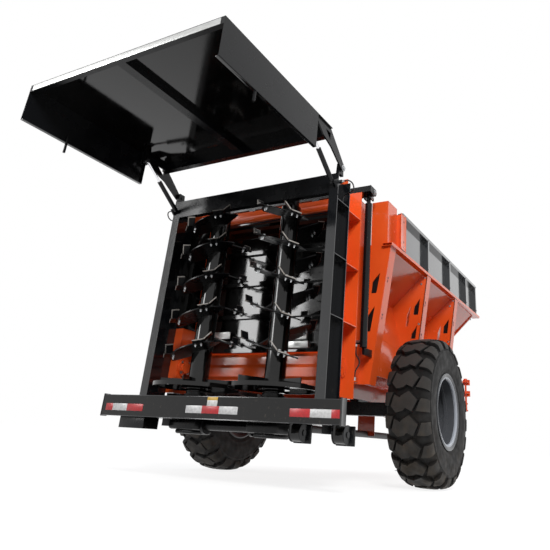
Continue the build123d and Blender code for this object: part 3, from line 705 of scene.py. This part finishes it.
# height of the foot, direction, radius, height and sides: head above, nut below and the bolt's end
KNIFE_BOLT = ((KNIFE_Z[1], 1, 0.0125, 0.012, 6),
              (-FLIGHT_HALF_T, -1, 0.0125, 0.009, 6),
              (-0.013, -1, 0.0065, 0.014, 10))
TIP_X = (0.265, 0.330)
TIP_LONG = 0.095
TIP_T = 0.008
TIP_HINGE = (0.041, 0.005)
TIP_BEND = 35
WORN = 0.006             # width of the bright edge
WORN_PAST = 0.0012       # how far it stands past the blade's end
WORN_OVER = 0.0008       # and past its faces
# the bright edge at the outer end of a knife's flat part
END_WORN_X = (KNIFE_X[1] - 0.005, KNIFE_X[1] + 0.001)
END_WORN_Y = (KNIFE_Y[0], 0.040)
END_WORN_Z = (KNIFE_Z[0] - 0.0005, KNIFE_Z[1] + 0.0005)


def flight_frame(side, z, turn):
    """The frame of a flight at height z: flat on z 0, tilted, and turned (in radians) about the beater."""
    stand = Matrix.Diagonal((1, side, 1, 1)) @ Matrix.Translation(at(BEATER_X, BEATER_Y, z))
    return stand @ (Matrix.Rotation(turn, 4, "Z") @ Matrix.Rotation(radians(FLIGHT_TILT), 4, "X"))


def knife_frames(flight):
    return [flight @ Matrix.Rotation(radians(turn), 4, "Z") for turn in KNIFE_TURNS]


def tip_frame(knife):
    return knife @ Matrix.Translation((0, *TIP_HINGE)) @ Matrix.Rotation(radians(TIP_BEND), 4, "X")


def top_flight(side, word):
    """The last flight of a beater, close under the beam, with its two knives."""
    bm = bmesh.new()
    flight = flight_frame(side, TOP_FLIGHT_Z, pi)
    turns = [radians(-FLIGHT_ARC + 2 * FLIGHT_ARC * k / FLIGHT_CUTS) for k in range(FLIGHT_CUTS + 1)]
    outline = [(FLIGHT_R * cos(a), FLIGHT_R * sin(a)) for a in turns]
    outline += [(TUBE_R * cos(a), TUBE_R * sin(a)) for a in reversed(turns)]
    rings = []
    for z in (-FLIGHT_HALF_T, FLIGHT_HALF_T):
        rings.append([bm.verts.new(flight @ Vector((*p, z))) for p in outline])
    band(bm, *rings)
    for ring in rings:
        for k in range(FLIGHT_CUTS):
            bm.faces.new((ring[k], ring[k + 1], ring[-2 - k], ring[-1 - k]))
    knives = knife_frames(flight)
    for knife in knives:
        small_box(bm, knife, KNIFE_X, KNIFE_Y, KNIFE_Z)
        small_box(bm, tip_frame(knife), TIP_X, (0, TIP_LONG), (0, TIP_T))
    from_bmesh("top_flight_" + word, bm, "black_blade", "beater_" + word)
    return knives


def dress_beaters():
    """The top flight, the bolts through each knife and the bright ground edge round its bent tip."""
    for side, word in SIDES:
        body = "beater_" + word
        knives = []
        for i in range(FLIGHTS):
            knives += knife_frames(flight_frame(side, FLIGHT_LOW + FLIGHT_STEP * i, pi + pi * i))
        knives += top_flight(side, word)
        bm = bmesh.new()
        for knife in knives:
            up = knife.to_3x3() @ Vector((0, 0, 1))
            for y in KNIFE_BOLT_Y:
                for z, way, radius, height, sides in KNIFE_BOLT:
                    hexagon(bm, knife @ Vector((KNIFE_BOLT_X, y, z)), up * way, radius, height, sides)
        from_bmesh("knife_bolts_" + word, bm, "zinc", body)
        bm = bmesh.new()
        inner, outer = TIP_X
        over = (-WORN_OVER, TIP_T + WORN_OVER)
        for knife in knives:
            tip = tip_frame(knife)
            small_box(bm, tip, (outer - WORN, outer + WORN_PAST), (0, TIP_LONG), over)
            small_box(bm, tip, (inner, outer + WORN_PAST), (TIP_LONG - WORN, TIP_LONG + WORN_PAST), over)
            small_box(bm, knife, END_WORN_X, END_WORN_Y, END_WORN_Z)
        from_bmesh("knife_edges_" + word, bm, "raw_steel", body)


# ------------------------------------------------------------------ gearboxes under the beaters
SHAFT_Z = 0.428
SHAFT_R = 0.040
COUPLING_Y = (0.235, 0.262)
COUPLING_R = 0.070
# limits from the beater's axis in x and y, limits in z, and easing: the case and its cover
GEARBOX = (((-0.13, 0.13), (-0.15, 0.15), (0.385, 0.470), 0.022),
           ((-0.09, 0.16), (-0.10, 0.10), (0.352, 0.390), 0.016))
GEAR_BOLTS = 8
GEAR_BOLT_CIRCLE = 0.115
GEAR_BOLT_R = 0.011
GEAR_BOLT_Z = (0.556, 0.580)
GEAR_FLANGE_R = 0.145
GEAR_FLANGE_Z = (0.558, 0.572)
# foot, radius and thickness of each step of the bearing's flange
BEARING_STEPS = ((0.640, 0.120, 0.014), (0.668, 0.104, 0.010))


def upright(bm, x, y, z, radius, sides):
    """A round or many-sided bar standing between two heights."""
    rod(bm, (x, y, z[0]), (x, y, z[1]), radius, sides)


def dress_beater_frame():
    """Gearboxes under the beaters, the shaft between them and the bearings' flanges."""
    x = BEATER_X
    bm = bmesh.new()
    for side in (1, -1):
        c = side * BEATER_Y
        for along, across, z, ease in GEARBOX:
            box(bm, (x + along[0], x + along[1]), (c + across[0], c + across[1]), z, ease)
        for k in range(GEAR_BOLTS):
            a = (k + 0.5) * 2 * pi / GEAR_BOLTS
            spot = (x + GEAR_BOLT_CIRCLE * cos(a), c + GEAR_BOLT_CIRCLE * sin(a))
            upright(bm, *spot, GEAR_BOLT_Z, GEAR_BOLT_R, sides=6)
        upright(bm, x, c, GEAR_FLANGE_Z, GEAR_FLANGE_R, sides=40)
    rod(bm, (x, -BEATER_Y, SHAFT_Z), (x, BEATER_Y, SHAFT_Z), SHAFT_R)
    for side in (1, -1):
        near, far = (side * y for y in COUPLING_Y)
        rod(bm, (x, near, SHAFT_Z), (x, far, SHAFT_Z), COUPLING_R, sides=28)
    from_bmesh("beater_gearboxes", bm, "black_blade", "chassis")
    for side, word in SIDES:
        bm = bmesh.new()
        for foot, radius, thick in BEARING_STEPS:
            upright(bm, x, side * BEATER_Y, (foot, foot + thick), radius, sides=32)
        from_bmesh("bearing_flange_" + word, bm, "black_blade", "chassis")


# ------------------------------------------------------------------ gate
# the limits in x, y and z, and the easing, of each pale bar on the gate
GATE_BARS = (((-1.112, -1.099), (0.47, 0.79), (1.25, 1.32), 0.004),
             ((-1.150, -1.099), (-0.47, -0.16), (1.14, 1.20), 0.006),
             ((-1.135, -1.099), (-0.44, -0.13), (1.215, 1.30), 0.006))
LIFT_END_Y = 1.018
LIFT_END_T = (-0.002, 0.006)
LIFT_END = [(-1.100, 2.650), (-1.012, 2.632), (-0.975, 2.640), (-0.958, 2.662), (-0.956, 2.694),
            (-0.970, 2.712), (-1.100, 2.714)]
LUG_X = (-1.040, -0.964)
LUG_Y = ((0.928, 0.936), (0.988, 0.996))
LUG_Z = (2.600, 2.652)
LIFT_BOLT_X = -1.0
LIFT_BOLTS = ((LIFT_END_Y + LIFT_END_T[1], 2.678), (LUG_Y[1][1], 2.622))
LIFT_BOLT = (0.015, 0.012)     # radius and height of a head


def dress_gate():
    """Pale bars on the gate, and the shaped ends, lugs and bolts of its lifting beam."""
    bm = bmesh.new()
    for limits in GATE_BARS:
        box(bm, *limits)
    from_bmesh("gate_bars", bm, "pale_steel", "gate")
    for side, word in SIDES:
        bm = bmesh.new()
        inner, outer = (side * (LIFT_END_Y + t) for t in LIFT_END_T)
        plate(bm, "y", LIFT_END, inner, outer)
        for near, far in LUG_Y:
            box(bm, LUG_X, (side * near, side * far), LUG_Z, ease=0.004)
        from_bmesh("lift_end_" + word, bm, "black_paint", "gate")
        spots = [(at(LIFT_BOLT_X, side * y, z), (0, side, 0)) for y, z in LIFT_BOLTS]
        bolts("lift_bolts_" + word, spots, *LIFT_BOLT, "zinc", "gate")


# ------------------------------------------------------------------ gate posts
POST_REAR = -1.430
POST_WEB_Y = 0.800
POST_OUTER_Y = 0.894
# the black liner over the gate posts' upper part: partly a black sheet and partly painted shade from the hood
LINER_T = 0.004
LINER_END = -1.270
LINER_Z = (1.305, 2.430)
# the header's apron: the limits in x and z of its web and of its foot
APRON = (((-1.292, -1.286), (2.418, 2.480)), ((-1.292, -1.262), (2.414, 2.420)))
COVER_X = -1.123
COVER_Y = 0.836
COVER_Z = 0.962
# width, height and reach in x of the oval cover's rim and of its raised middle
COVER = ((0.056, 0.176, (-0.010, 0.001)), (0.038, 0.136, (-0.020, -0.009)))
# how far the cover's bolts stand out, and their heights from its middle
COVER_BOLTS = ((0.009, -0.078), (0.009, 0.078), (0.020, 0.0))
COVER_BOLT = (0.008, 0.007)       # radius and height of a head
BEARING_BOLT = (0.010, 0.009)
BEARING_BOLTS = 4
BEARING_X = -1.338
BEARING_Z = 0.940
BEARING_IN = 0.018
BEARING_CIRCLE = 0.066


def dress_gate_posts():
    """The header's apron, and the stamped oval cover and the shaft bearing's bolts on each gate post."""
    bm = bmesh.new()
    for x, z in APRON:
        box(bm, x, (-POST_WEB_Y, POST_WEB_Y), z)
    from_bmesh("gate_header_apron", bm, "orange_paint", "chassis")
    for side, word in SIDES:
        middle = side * COVER_Y
        bm = bmesh.new()
        for wide, high, reach in COVER:
            plate(bm, "x", oval(middle, COVER_Z, wide, high), COVER_X + reach[0], COVER_X + reach[1])
        from_bmesh("oval_cover_" + word, bm, "orange_paint", "chassis")
        spots = [(at(COVER_X - out, middle, COVER_Z + z), (-1, 0, 0)) for out, z in COVER_BOLTS]
        bolts("oval_cover_bolts_" + word, spots, *COVER_BOLT, "orange_paint", "chassis")
        inner = side * (POST_WEB_Y - BEARING_IN)
        spots = []
        for k in range(BEARING_BOLTS):
            a = (k + 0.5) * 2 * pi / BEARING_BOLTS
            place = at(BEARING_X + BEARING_CIRCLE * cos(a), inner, BEARING_Z + BEARING_CIRCLE * sin(a))
            spots.append((place, (0, -side, 0)))
        bolts("bearing_bolts_" + word, spots, *BEARING_BOLT, "zinc", "chassis")


def line_posts():
    """A thin black liner on each gate post, from above the sill to the header, facing the beaters: partly a
    black sheet on the post and partly painted shade of the hood's shadow over it.
    """
    rear = POST_REAR - LINER_T
    for side, word in SIDES:
        bm = bmesh.new()
        skin, web, outer = (side * y for y in (POST_WEB_Y - LINER_T, POST_WEB_Y, POST_OUTER_Y))
        box(bm, (rear, POST_REAR + BEDDED), (skin, outer), LINER_Z, ease=0.001)
        box(bm, (rear, LINER_END), (skin, web), LINER_Z, ease=0.001)
        from_bmesh("post_liner_painted_shade_" + word, bm, "black_sheet", "chassis")


# ------------------------------------------------------------------ side gussets
# lines in a section across the machine, as distance from its middle and height
REAR_EDGE = [(0.958, 0.850), (1.140, 2.150)]
GUSSET_EDGE = [(0.940, 0.900), (1.000, 1.365), (1.064, 1.440), (1.160, 2.148)]
WALL = [(1.105, 2.148), (0.740, 1.790), (0.858, 1.330), (0.893, 1.060)]
FRONT_WEB = WALL + [(0.905, 1.060), (0.875, 1.345), (0.762, 1.780), (1.118, 2.148)]
FRONT_WEB_X = 2.302
STRIP_W = 0.125
WEB_T = 0.008
GUSSET_X = (0.200, 1.290)
REAR_STRIP_X = -0.826
REAR_STRIP_OUT = 0.0006
# tall slots in a web: low z, high z, width and distance from the web's outer edge
SLOTS = [(1.705, 1.885, 0.056, 0.052), (1.442, 1.588, 0.052, 0.048), (1.580, 1.805, 0.028, 0.150)]
SLOT_SLANT = 0.09
# near-black plates behind the first slots of each web and behind the rear web's slots: painted shade for the
# dark inside of the box section
PAINTED_SHADE_SLOTS = 2
SHADE_PLATE_SHARE = 1.25
SHADE_PLATE_X = (0.030, 0.033)
REAR_SLOTS = ((1.325, 1.565), (1.690, 1.890))
REAR_SHADE_PLATE_X = (-0.812, -0.809)
REAR_SHADE_PLATE_PAST = 0.020
# how far the corners of the painted shade plate behind a rear slot lie inside the edge: low inner, low outer,
# high outer, high inner
REAR_SHADE_PLATE_IN = (0.160, 0.045, 0.030, 0.160)
FLAT_SHARP = 20


def edge_at(line, z):
    """How far from the machine's middle a line is at height z."""
    for (y0, z0), (y1, z1) in zip(line, line[1:]):
        if z <= z1:
            break
    return y0 + (y1 - y0) * (z - z0) / (z1 - z0)


def on_side(side, line):
    """The line, given for the left, on the side named."""
    return [(side * y, z) for y, z in line]


def cut_plate(bm, outline, holes, low, high):
    """A plate across x with holes: both its faces are filled round them, and each loop gets its wall."""
    ends = []
    for d in (low, high):
        rings = [[bm.verts.new(at(d, *p)) for p in loop] for loop in [outline] + holes]
        edges = [bm.edges.new(pair) for ring in rings for pair in zip(ring, ring[1:] + ring[:1])]
        bmesh.ops.triangle_fill(bm, use_beauty=True, edges=edges)
        ends.append(rings)
    for near, far in zip(*ends):
        band(bm, near, far)


def strip(bm, side, line, x):
    """The flat strip along a web's outer edge."""
    inner = [(y - WEB_T, z) for y, z in reversed(line)]
    plate(bm, "x", on_side(side, line + inner), x, x + STRIP_W)


def make_gussets(side, word):
    """Slotted webs that step in over the tyre, their edge strips, and near-black plates behind the slots as
    painted shade.
    """
    bm, dark = bmesh.new(), bmesh.new()
    for x in GUSSET_X:
        holes = []
        for low, high, wide, inset in SLOTS:
            corners = [(low, inset), (low, inset + wide), (high - SLOT_SLANT, inset + wide), (high, inset)]
            holes.append([(side * (edge_at(GUSSET_EDGE, z) - inwards), z) for z, inwards in corners])
        cut_plate(bm, on_side(side, WALL + GUSSET_EDGE), holes, x, x + WEB_T)
        strip(bm, side, GUSSET_EDGE, x)
        # near-black plates behind the slots: painted shade
        for hole in holes[:PAINTED_SHADE_SLOTS]:
            plate(dark, "x", scaled(hole, SHADE_PLATE_SHARE), x + SHADE_PLATE_X[0], x + SHADE_PLATE_X[1])
    plate(bm, "x", on_side(side, FRONT_WEB), FRONT_WEB_X, FRONT_WEB_X + WEB_T)
    made = from_bmesh("gusset_plates_" + word, bm, "orange_paint", "chassis", FLAT_SHARP)
    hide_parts("gussets_" + word)
    # near-black plates behind the rear web's slots: painted shade
    for low, high in REAR_SLOTS:
        y = edge_at(REAR_EDGE, (low + high) / 2)
        heights = (low - REAR_SHADE_PLATE_PAST, low - REAR_SHADE_PLATE_PAST, high + REAR_SHADE_PLATE_PAST, high + REAR_SHADE_PLATE_PAST)
        back = [(y - inwards, z) for inwards, z in zip(REAR_SHADE_PLATE_IN, heights)]
        plate(dark, "x", on_side(side, back), *REAR_SHADE_PLATE_X)
    from_bmesh("slot_painted_shade_" + word, dark, "keyhole", "chassis")


def make_rear_strip(side, word):
    """A second skin, just proud of the strip along the rear web's edge."""
    bm = bmesh.new()
    strip(bm, side, [(y + REAR_STRIP_OUT, z) for y, z in REAR_EDGE], REAR_STRIP_X)
    from_bmesh("rear_strip_" + word, bm, "orange_paint", "chassis", FLAT_SHARP)


# ------------------------------------------------------------------ hopper
BOARD_Y = 1.162
BRACKET_X = (-0.640, -0.500)
BRACKET_WEB_X = (-0.600, -0.594)
BRACKET_WEB_Y = 1.100
BRACKET_Z = (2.190, 2.575)
BRACKET_T = 0.005
BRACKET_HOLE_X = -0.560
BRACKET_HOLE_Z = (2.280, 2.500)
BRACKET_HOLE = 0.020
# a keyhole is a round hole over a slot: height from its middle, width and height of each
KEYHOLE = ((0.012, 0.024, 0.024), (-0.016, 0.012, 0.034))
HOLE_STEPS = 16
KEYHOLE_X = 0.040
KEYHOLE_Z = (1.481, 1.835)
KEYHOLE_DEEP = 0.003
KEYHOLE_PROUD = 0.0006
STRIPS = ((REAR_STRIP_X, REAR_EDGE), (GUSSET_X[0], GUSSET_EDGE), (GUSSET_X[1], GUSSET_EDGE))
# height, and distance inside the edge, of the bolts in a gusset's web
WEB_BOLTS = ((2.050, 0.060), (2.119, 0.025), (1.600, 0.030))
BOARD_BOLT_X = (-0.551, 0.243, 1.085, 1.845, 2.368)
BOARD_BOLT_Z = (2.230, 2.575)
SIDE_BOLT = (0.009, 0.007)        # radius and height of a head
# a chain tensioner at each front corner: two shelves with end plates, and a threaded rod with its nuts
TENSIONER_X = 2.440
TENSIONER_Y = 0.948
TENSIONER_Z = (0.850, 1.275)
TENSIONER_R = 0.014
SHELF_Z = (1.090, 1.240)
# limits in x and y, and limits in z from the shelf's top: the shelf and its end plate
SHELF = ((2.366, 2.500), (0.800, 0.985), (-0.010, 0.0))
SHELF_END = ((2.470, 2.500), (0.905, 0.990), (-0.035, 0.030))
SHELF_END_EASED = 0.004
TENSIONER_NUT_Z = (0.850, 0.940, 1.040, 1.265)
TENSIONER_NUT = (0.020, 0.026)    # height and radius


def board_bracket(side, word):
    """The bracket on a board's rear end, with its web."""
    out = side * BOARD_Y
    bm = bmesh.new()
    box(bm, BRACKET_X, (out, out + side * BRACKET_T), BRACKET_Z)
    box(bm, BRACKET_WEB_X, (side * BRACKET_WEB_Y, out), BRACKET_Z)
    from_bmesh("board_bracket_" + word, bm, "orange_paint", "chassis")


def keyholes(side, word):
    """Keyholes in the edge strips and round holes in the boards' brackets, as near-black plates: painted
    shade of the holes' insides.
    """
    bm = bmesh.new()
    for x, line in STRIPS:
        for z in KEYHOLE_Z:
            for rise, wide, high in KEYHOLE:
                y = side * (edge_at(line, z + rise) + KEYHOLE_PROUD)
                hole = oval(x + KEYHOLE_X, z + rise, wide, high, HOLE_STEPS)
                plate(bm, "y", hole, y - side * KEYHOLE_DEEP, y + side * KEYHOLE_PROUD)
    out = side * BOARD_Y
    for z in BRACKET_HOLE_Z:
        hole = oval(BRACKET_HOLE_X, z, BRACKET_HOLE, BRACKET_HOLE, HOLE_STEPS)
        plate(bm, "y", hole, out, out + side * (BRACKET_T + KEYHOLE_PROUD))
    from_bmesh("keyholes_painted_shade_" + word, bm, "keyhole", "chassis")


def side_bolts(side, word):
    """Bolts in the gussets' webs and along the boards."""
    spots = []
    for x, line in STRIPS[1:]:
        for z, inset in WEB_BOLTS:
            spots.append((at(x, side * (edge_at(line, z) - inset), z), (-1, 0, 0)))
    for x in BOARD_BOLT_X:
        for z in BOARD_BOLT_Z:
            spots.append((at(x, side * BOARD_Y, z), (0, side, 0)))
    bolts("side_bolts_" + word, spots, *SIDE_BOLT, "zinc", "chassis")


def chain_tensioner(side, word):
    """Two shelves, and the upright threaded rod with its nuts."""
    y = side * TENSIONER_Y
    bm = bmesh.new()
    for z in SHELF_Z:
        for (along, across, rise), ease in ((SHELF, EASED), (SHELF_END, SHELF_END_EASED)):
            box(bm, along, (side * across[0], side * across[1]), (z + rise[0], z + rise[1]), ease)
    upright(bm, TENSIONER_X, y, TENSIONER_Z, TENSIONER_R, sides=20)
    height, radius = TENSIONER_NUT
    for z in TENSIONER_NUT_Z:
        upright(bm, TENSIONER_X, y, (z, z + height), radius, sides=6)
    from_bmesh("chain_tensioner_" + word, bm, "orange_paint", "chassis")


def dress_hopper():
    """Gussets, brackets at the boards' rear end, keyholes, bolts and the chain tensioners."""
    for side, word in SIDES:
        make_gussets(side, word)
        make_rear_strip(side, word)
    for side, word in SIDES:
        board_bracket(side, word)
        keyholes(side, word)
        side_bolts(side, word)
        chain_tensioner(side, word)


# ------------------------------------------------------------------ hood
HOOD_REAR = -3.417
HOOD_UNDER = 2.912
LIP_Y = (-0.970, 0.970)
LIP_X = (HOOD_REAR - 0.0022, HOOD_REAR + 0.002)
LIP_Z = (HOOD_UNDER - 0.054, HOOD_UNDER - 0.002)
SKIRT_FRONT = -2.150
SKIRT_LOW = HOOD_UNDER - 0.323
SKIRT_FOLD_Y = (0.975, 1.005)
SKIRT_T = 0.005
PIN_Y = 0.990
PINS = ((-1.625, 2.650), (-2.180, 2.820))     # the hood's hinge and the ram's eye, as x and z
PIN_HEAD = (0.020, 0.010)                     # radius and height
# hose fittings: a six-sided bar from one place to another, as x, y and z on the left side, and its radius
HOSE_ENDS = (((-1.655, 0.992, 2.502), (-1.655, 1.022, 2.502), 0.011),
             ((-1.655, 0.972, 2.502), (-1.655, 0.992, 2.502), 0.014),
             ((-1.000, 0.890, 1.160), (-1.000, 0.890, 1.186), 0.012),
             ((-1.000, 0.890, 0.862), (-1.000, 0.890, 0.892), 0.012),
             ((-1.000, 0.890, 1.200), (-1.000, 0.928, 1.200), 0.016))


def dress_hood():
    """The pale strip along the hood's lip, the skirts' folded edges, the pins' heads and the hoses' ends."""
    bm = bmesh.new()
    box(bm, LIP_X, LIP_Y, LIP_Z, ease=0.0008)
    from_bmesh("hood_lip_strip", bm, "pale_steel", "hood")
    for side, word in SIDES:
        fold = sorted(side * y for y in SKIRT_FOLD_Y)
        bm = bmesh.new()
        box(bm, (HOOD_REAR, SKIRT_FRONT), fold, (SKIRT_LOW, SKIRT_LOW + SKIRT_T))
        box(bm, (SKIRT_FRONT - SKIRT_T, SKIRT_FRONT), fold, (SKIRT_LOW, HOOD_UNDER))
        from_bmesh("skirt_edge_" + word, bm, "black_gloss", "hood")
        spots = [(at(x, side * PIN_Y, z), (0, side, 0)) for x, z in PINS]
        bolts("hood_pin_heads_" + word, spots, *PIN_HEAD, "zinc", "hood")
        bm = bmesh.new()
        for (x0, y0, z0), (x1, y1, z1), radius in HOSE_ENDS:
            rod(bm, (x0, side * y0, z0), (x1, side * y1, z1), radius, sides=6)
        from_bmesh("hose_ends_" + word, bm, "zinc", "chassis")


# ------------------------------------------------------------------ the whole picture
camera()
stage_floor()
stage_sky()
for name, settings in LAMPS.items():
    lamp(name, *settings)
dress_nodes()
for side, word in SIDES:
    make_tyre(side, word)
for side, word in SIDES:
    make_rim_trim(side, word)
dress_bumper()
dress_beaters()
dress_beater_frame()
dress_gate()
dress_gate_posts()
line_posts()
dress_hopper()
dress_hood()

scene.view_settings.view_transform = "Standard"
